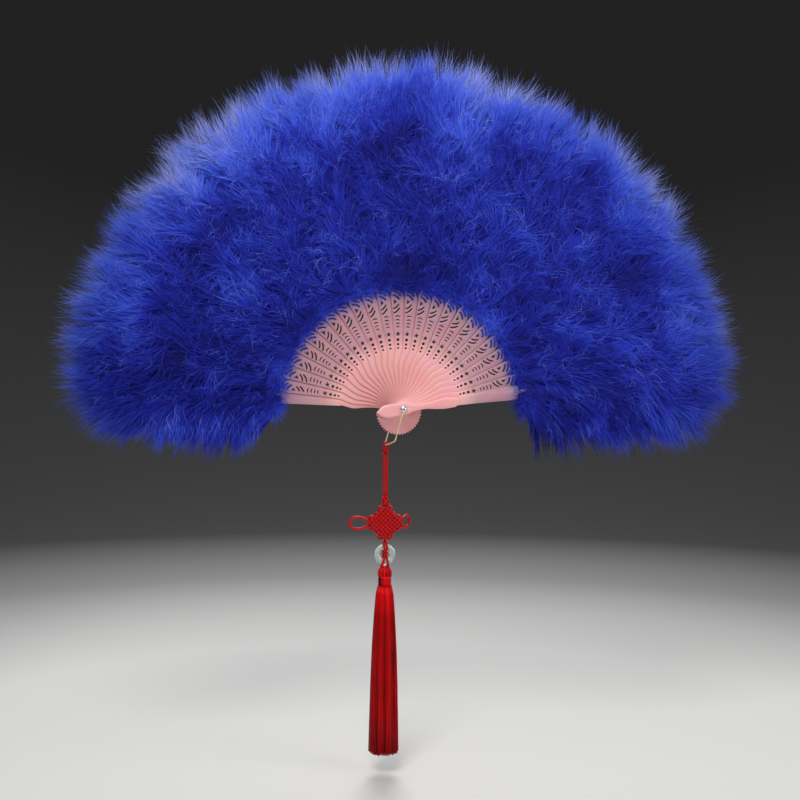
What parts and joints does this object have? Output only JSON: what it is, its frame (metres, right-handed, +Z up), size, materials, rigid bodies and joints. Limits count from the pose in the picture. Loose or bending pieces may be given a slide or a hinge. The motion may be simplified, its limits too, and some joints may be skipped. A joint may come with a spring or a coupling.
{
  "type": "folding feather fan",
  "caption": "Folding hand fan: pierced plastic sticks on one rivet, each carrying a marabou feather plume, with a wire bail, a knotted cord, a jade ring and a tassel.",
  "frame": {"origin": "centre of the rivet, half way through the stack of sticks, which is the middle of the grip", "axes": "+Z up out of the opened leaf, +X towards the front guard, -Y towards the viewer"},
  "size_m": [0.6156, 0.0838, 0.6188],
  "materials": {
    "pink_plastic": "semi-gloss moulded plastic, slightly worn",
    "marabou": "soft dyed feather fluff",
    "rivet_metal": "polished",
    "gold_wire": "bright plated wire",
    "red_cord": "satin braided cord",
    "tassel_thread": "silky loose thread",
    "jade": "polished, milky and translucent"
  },
  "bodies": {
    "front_guard": {"front_guard": "pink_plastic", "rivet": "rivet_metal", "plume_00": "marabou"},
    "stick_01": {"stick_01": "pink_plastic", "plume_01": "marabou"},
    "stick_02": {"stick_02": "pink_plastic", "plume_02": "marabou"},
    "stick_03": {"stick_03": "pink_plastic", "plume_03": "marabou"},
    "stick_04": {"stick_04": "pink_plastic", "plume_04": "marabou"},
    "stick_05": {"stick_05": "pink_plastic", "plume_05": "marabou"},
    "stick_06": {"stick_06": "pink_plastic", "plume_06": "marabou"},
    "stick_07": {"stick_07": "pink_plastic", "plume_07": "marabou"},
    "stick_08": {"stick_08": "pink_plastic", "plume_08": "marabou"},
    "stick_09": {"stick_09": "pink_plastic", "plume_09": "marabou"},
    "stick_10": {"stick_10": "pink_plastic", "plume_10": "marabou"},
    "stick_11": {"stick_11": "pink_plastic", "plume_11": "marabou"},
    "stick_12": {"stick_12": "pink_plastic", "plume_12": "marabou"},
    "stick_13": {"stick_13": "pink_plastic", "plume_13": "marabou"},
    "stick_14": {"stick_14": "pink_plastic", "plume_14": "marabou"},
    "stick_15": {"stick_15": "pink_plastic", "plume_15": "marabou"},
    "stick_16": {"stick_16": "pink_plastic", "plume_16": "marabou"},
    "stick_17": {"stick_17": "pink_plastic", "plume_17": "marabou"},
    "stick_18": {"stick_18": "pink_plastic", "plume_18": "marabou"},
    "stick_19": {"stick_19": "pink_plastic", "plume_19": "marabou"},
    "stick_20": {"stick_20": "pink_plastic", "plume_20": "marabou"},
    "stick_21": {"stick_21": "pink_plastic", "plume_21": "marabou"},
    "stick_22": {"stick_22": "pink_plastic", "plume_22": "marabou"},
    "stick_23": {"stick_23": "pink_plastic", "plume_23": "marabou"},
    "back_guard": {"back_guard": "pink_plastic", "plume_24": "marabou"},
    "bail": {"bail": "gold_wire"},
    "lanyard_loop": {"loop_knot": "red_cord"},
    "lanyard": {"lanyard_cord_left": "red_cord", "lanyard_cord_right": "red_cord", "button_knot": "red_cord", "endless_knot": "red_cord"},
    "tassel": {"jade_ring": "jade", "tassel_head": "tassel_thread", "tassel_skirt": "tassel_thread"}
  },
  "joints": [
    {"name": "fold", "type": "hinge", "parent": "front_guard", "child": "back_guard", "pos_m": [0, 0, 0], "axis": [0, 1, 0], "range_deg": [0, 166.52], "deforming": ["plume_00", "plume_24"]},
    {"name": "stick_01_pivot", "type": "hinge", "parent": "front_guard", "child": "stick_01", "pos_m": [0, 0, 0], "axis": [0, 1, 0], "range_deg": [0, 5.61], "deforming": ["plume_01"]},
    {"name": "stick_02_pivot", "type": "hinge", "parent": "front_guard", "child": "stick_02", "pos_m": [0, 0, 0], "axis": [0, 1, 0], "range_deg": [0, 12.67], "deforming": ["plume_02"]},
    {"name": "stick_03_pivot", "type": "hinge", "parent": "front_guard", "child": "stick_03", "pos_m": [0, 0, 0], "axis": [0, 1, 0], "range_deg": [0, 19.73], "deforming": ["plume_03"]},
    {"name": "stick_04_pivot", "type": "hinge", "parent": "front_guard", "child": "stick_04", "pos_m": [0, 0, 0], "axis": [0, 1, 0], "range_deg": [0, 26.79], "deforming": ["plume_04"]},
    {"name": "stick_05_pivot", "type": "hinge", "parent": "front_guard", "child": "stick_05", "pos_m": [0, 0, 0], "axis": [0, 1, 0], "range_deg": [0, 33.85], "deforming": ["plume_05"]},
    {"name": "stick_06_pivot", "type": "hinge", "parent": "front_guard", "child": "stick_06", "pos_m": [0, 0, 0], "axis": [0, 1, 0], "range_deg": [0, 40.91], "deforming": ["plume_06"]},
    {"name": "stick_07_pivot", "type": "hinge", "parent": "front_guard", "child": "stick_07", "pos_m": [0, 0, 0], "axis": [0, 1, 0], "range_deg": [0, 47.97], "deforming": ["plume_07"]},
    {"name": "stick_08_pivot", "type": "hinge", "parent": "front_guard", "child": "stick_08", "pos_m": [0, 0, 0], "axis": [0, 1, 0], "range_deg": [0, 55.03], "deforming": ["plume_08"]},
    {"name": "stick_09_pivot", "type": "hinge", "parent": "front_guard", "child": "stick_09", "pos_m": [0, 0, 0], "axis": [0, 1, 0], "range_deg": [0, 62.09], "deforming": ["plume_09"]},
    {"name": "stick_10_pivot", "type": "hinge", "parent": "front_guard", "child": "stick_10", "pos_m": [0, 0, 0], "axis": [0, 1, 0], "range_deg": [0, 69.15], "deforming": ["plume_10"]},
    {"name": "stick_11_pivot", "type": "hinge", "parent": "front_guard", "child": "stick_11", "pos_m": [0, 0, 0], "axis": [0, 1, 0], "range_deg": [0, 76.21], "deforming": ["plume_11"]},
    {"name": "stick_12_pivot", "type": "hinge", "parent": "front_guard", "child": "stick_12", "pos_m": [0, 0, 0], "axis": [0, 1, 0], "range_deg": [0, 83.27], "deforming": ["plume_12"]},
    {"name": "stick_13_pivot", "type": "hinge", "parent": "front_guard", "child": "stick_13", "pos_m": [0, 0, 0], "axis": [0, 1, 0], "range_deg": [0, 90.33], "deforming": ["plume_13"]},
    {"name": "stick_14_pivot", "type": "hinge", "parent": "front_guard", "child": "stick_14", "pos_m": [0, 0, 0], "axis": [0, 1, 0], "range_deg": [0, 97.39], "deforming": ["plume_14"]},
    {"name": "stick_15_pivot", "type": "hinge", "parent": "front_guard", "child": "stick_15", "pos_m": [0, 0, 0], "axis": [0, 1, 0], "range_deg": [0, 104.45], "deforming": ["plume_15"]},
    {"name": "stick_16_pivot", "type": "hinge", "parent": "front_guard", "child": "stick_16", "pos_m": [0, 0, 0], "axis": [0, 1, 0], "range_deg": [0, 111.51], "deforming": ["plume_16"]},
    {"name": "stick_17_pivot", "type": "hinge", "parent": "front_guard", "child": "stick_17", "pos_m": [0, 0, 0], "axis": [0, 1, 0], "range_deg": [0, 118.57], "deforming": ["plume_17"]},
    {"name": "stick_18_pivot", "type": "hinge", "parent": "front_guard", "child": "stick_18", "pos_m": [0, 0, 0], "axis": [0, 1, 0], "range_deg": [0, 125.63], "deforming": ["plume_18"]},
    {"name": "stick_19_pivot", "type": "hinge", "parent": "front_guard", "child": "stick_19", "pos_m": [0, 0, 0], "axis": [0, 1, 0], "range_deg": [0, 132.69], "deforming": ["plume_19"]},
    {"name": "stick_20_pivot", "type": "hinge", "parent": "front_guard", "child": "stick_20", "pos_m": [0, 0, 0], "axis": [0, 1, 0], "range_deg": [0, 139.75], "deforming": ["plume_20"]},
    {"name": "stick_21_pivot", "type": "hinge", "parent": "front_guard", "child": "stick_21", "pos_m": [0, 0, 0], "axis": [0, 1, 0], "range_deg": [0, 146.81], "deforming": ["plume_21"]},
    {"name": "stick_22_pivot", "type": "hinge", "parent": "front_guard", "child": "stick_22", "pos_m": [0, 0, 0], "axis": [0, 1, 0], "range_deg": [0, 153.87], "deforming": ["plume_22"]},
    {"name": "stick_23_pivot", "type": "hinge", "parent": "front_guard", "child": "stick_23", "pos_m": [0, 0, 0], "axis": [0, 1, 0], "range_deg": [0, 160.93], "deforming": ["plume_23"]},
    {"name": "bail_swing", "type": "hinge", "parent": "front_guard", "child": "bail", "pos_m": [0, 0, 0], "axis": [0, 1, 0], "range_deg": [-60, 30]},
    {"name": "lanyard_swing", "type": "hinge", "parent": "bail", "child": "lanyard_loop", "pos_m": [-0.00906, 0.0159, -0.03381], "axis": [0, 1, 0], "range_deg": [-30, 30]},
    {"name": "lanyard_sway", "type": "hinge", "parent": "lanyard_loop", "child": "lanyard", "pos_m": [-0.00906, 0.0159, -0.04296], "axis": [1, 0, 0], "range_deg": [-40, 40]},
    {"name": "tassel_swing", "type": "hinge", "parent": "lanyard", "child": "tassel", "pos_m": [-0.00906, 0.0159, -0.11965], "axis": [0, 1, 0], "range_deg": [-45, 45]}
  ],
  "couplings": [
    {"joint": "stick_01_pivot", "follows": "fold", "ratio": 0.03363},
    {"joint": "stick_02_pivot", "follows": "fold", "ratio": 0.076027},
    {"joint": "stick_03_pivot", "follows": "fold", "ratio": 0.11842},
    {"joint": "stick_04_pivot", "follows": "fold", "ratio": 0.16082},
    {"joint": "stick_05_pivot", "follows": "fold", "ratio": 0.20322},
    {"joint": "stick_06_pivot", "follows": "fold", "ratio": 0.24562},
    {"joint": "stick_07_pivot", "follows": "fold", "ratio": 0.28801},
    {"joint": "stick_08_pivot", "follows": "fold", "ratio": 0.33041},
    {"joint": "stick_09_pivot", "follows": "fold", "ratio": 0.37281},
    {"joint": "stick_10_pivot", "follows": "fold", "ratio": 0.4152},
    {"joint": "stick_11_pivot", "follows": "fold", "ratio": 0.4576},
    {"joint": "stick_12_pivot", "follows": "fold", "ratio": 0.5},
    {"joint": "stick_13_pivot", "follows": "fold", "ratio": 0.5424},
    {"joint": "stick_14_pivot", "follows": "fold", "ratio": 0.58479},
    {"joint": "stick_15_pivot", "follows": "fold", "ratio": 0.62719},
    {"joint": "stick_16_pivot", "follows": "fold", "ratio": 0.66959},
    {"joint": "stick_17_pivot", "follows": "fold", "ratio": 0.71199},
    {"joint": "stick_18_pivot", "follows": "fold", "ratio": 0.75438},
    {"joint": "stick_19_pivot", "follows": "fold", "ratio": 0.79678},
    {"joint": "stick_20_pivot", "follows": "fold", "ratio": 0.83918},
    {"joint": "stick_21_pivot", "follows": "fold", "ratio": 0.88158},
    {"joint": "stick_22_pivot", "follows": "fold", "ratio": 0.92397},
    {"joint": "stick_23_pivot", "follows": "fold", "ratio": 0.96637}
  ]
}
